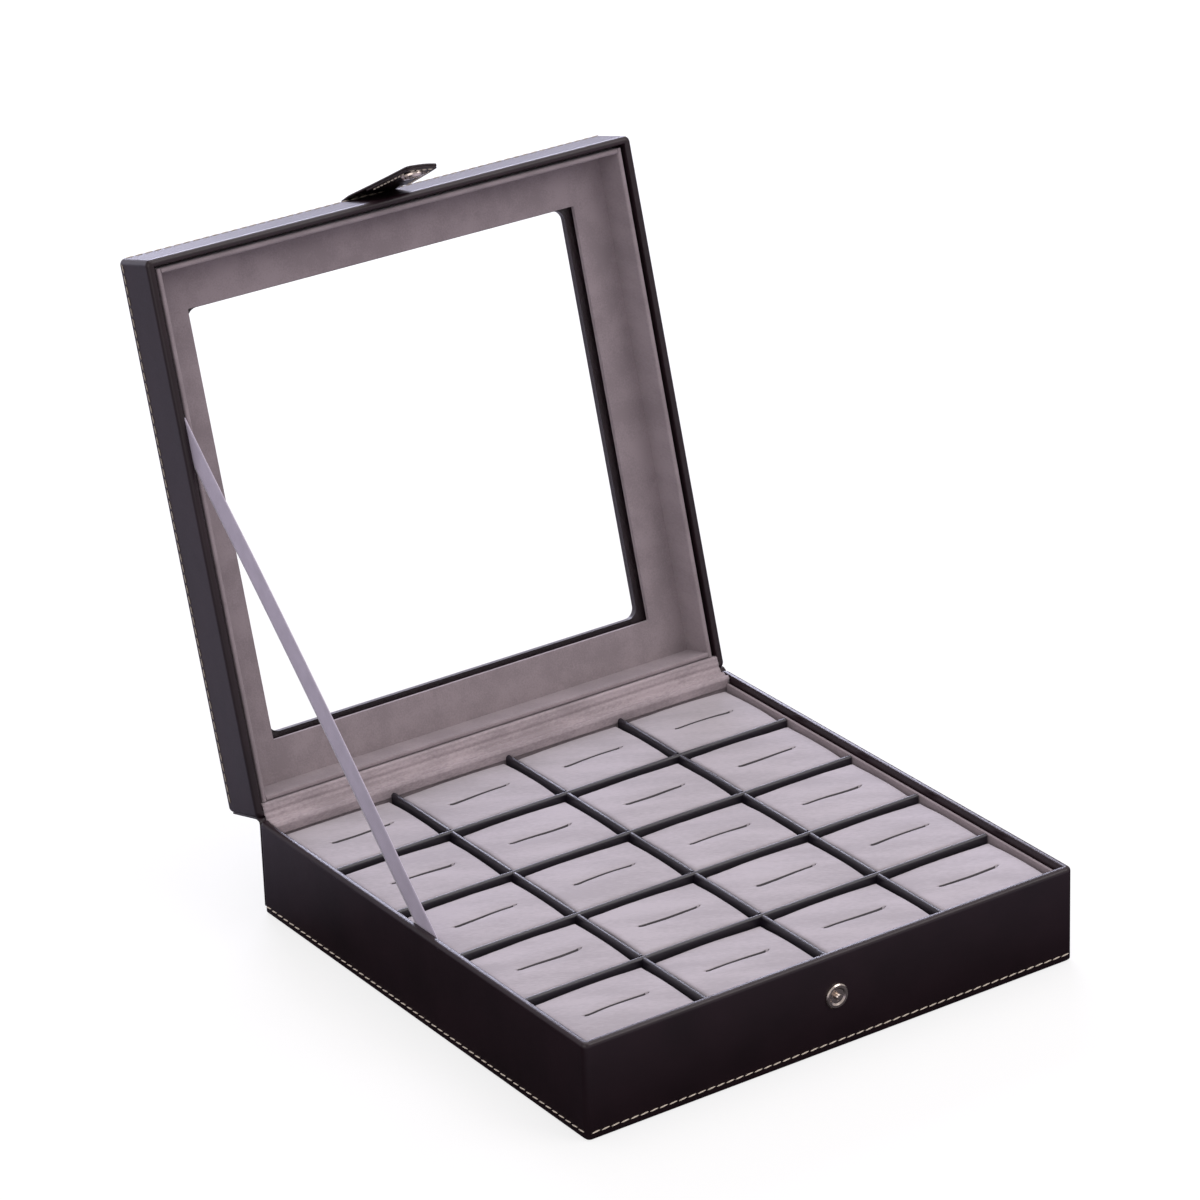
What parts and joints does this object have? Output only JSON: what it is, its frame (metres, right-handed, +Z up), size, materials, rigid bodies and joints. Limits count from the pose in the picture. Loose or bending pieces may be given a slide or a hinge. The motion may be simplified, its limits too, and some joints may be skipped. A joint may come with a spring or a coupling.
{
  "type": "cufflink box",
  "caption": "Square leather-covered cufflink box with a glass-topped hinged lid, a ribbon stay, a snap tab and slit velour pads in a lattice of dividers.",
  "frame": {"origin": "centre of the base's flat underside", "axes": "+X to the right, -Y to the front where the snap is, +Z up; the lid is open 105 degrees, hinged along X at the back"},
  "size_m": [0.248, 0.3408, 0.3029],
  "materials": {
    "leather": "smooth, satin, near-black brown",
    "divider_leather": "smooth, satin, near-black",
    "greyboard": "plain board",
    "lining_velour": "short grey velour pile",
    "pad_velour": "short pale grey velour pile over foam",
    "ribbon": "woven grey satin ribbon",
    "nickel": "polished nickel plate",
    "glass": "clear, polished"
  },
  "bodies": {
    "base": {"base_bottom_cover": "leather", "base_bottom_board": "greyboard", "base_front_board": "greyboard", "base_rear_board": "greyboard", "base_left_board": "greyboard", "base_right_board": "greyboard", "base_leather_wrap": "leather", "base_front_liner": "lining_velour", "base_rear_liner": "lining_velour", "base_left_liner": "lining_velour", "base_right_liner": "lining_velour", "divider_long_1": "divider_leather", "divider_long_2": "divider_leather", "divider_long_3": "divider_leather", "divider_cross_1": "divider_leather", "divider_cross_2": "divider_leather", "divider_cross_3": "divider_leather", "divider_cross_4": "divider_leather", "pad_row_1_column_1": "pad_velour", "pad_row_1_column_2": "pad_velour", "pad_row_1_column_3": "pad_velour", "pad_row_1_column_4": "pad_velour", "pad_row_2_column_1": "pad_velour", "pad_row_2_column_2": "pad_velour", "pad_row_2_column_3": "pad_velour", "pad_row_2_column_4": "pad_velour", "pad_row_3_column_1": "pad_velour", "pad_row_3_column_2": "pad_velour", "pad_row_3_column_3": "pad_velour", "pad_row_3_column_4": "pad_velour", "pad_row_4_column_1": "pad_velour", "pad_row_4_column_2": "pad_velour", "pad_row_4_column_3": "pad_velour", "pad_row_4_column_4": "pad_velour", "pad_row_5_column_1": "pad_velour", "pad_row_5_column_2": "pad_velour", "pad_row_5_column_3": "pad_velour", "pad_row_5_column_4": "pad_velour", "snap_stud": "nickel", "snap_stud_rivet": "nickel", "stay_ribbon": "ribbon", "hinge_velour": "lining_velour", "hinge_leather": "leather"},
    "lid": {"lid_front_board": "greyboard", "lid_rear_board": "greyboard", "lid_left_board": "greyboard", "lid_right_board": "greyboard", "lid_top_frame": "greyboard", "lid_leather_wrap": "leather", "window_glass": "glass", "lid_frame_lining": "lining_velour", "lid_front_liner": "lining_velour", "lid_rear_liner": "lining_velour", "lid_left_liner": "lining_velour", "lid_right_liner": "lining_velour", "tab_tail": "leather"},
    "tab": {"tab_outer_leather": "leather", "tab_inner_leather": "leather", "snap_socket": "nickel"}
  },
  "joints": [
    {"name": "lid_hinge", "type": "hinge", "parent": "base", "child": "lid", "pos_m": [0, 0.1244, 0.0444], "axis": [1, 0, 0], "range_deg": [0, 105], "deforming": ["stay_ribbon", "hinge_velour", "hinge_leather"]},
    {"name": "tab_flex", "type": "hinge", "parent": "lid", "child": "tab", "pos_m": [0, 0.21356, 0.27669], "axis": [-1, 0, 0], "range_deg": [-5.64, 75], "stiffness_Nm_per_rad": 0.03}
  ]
}
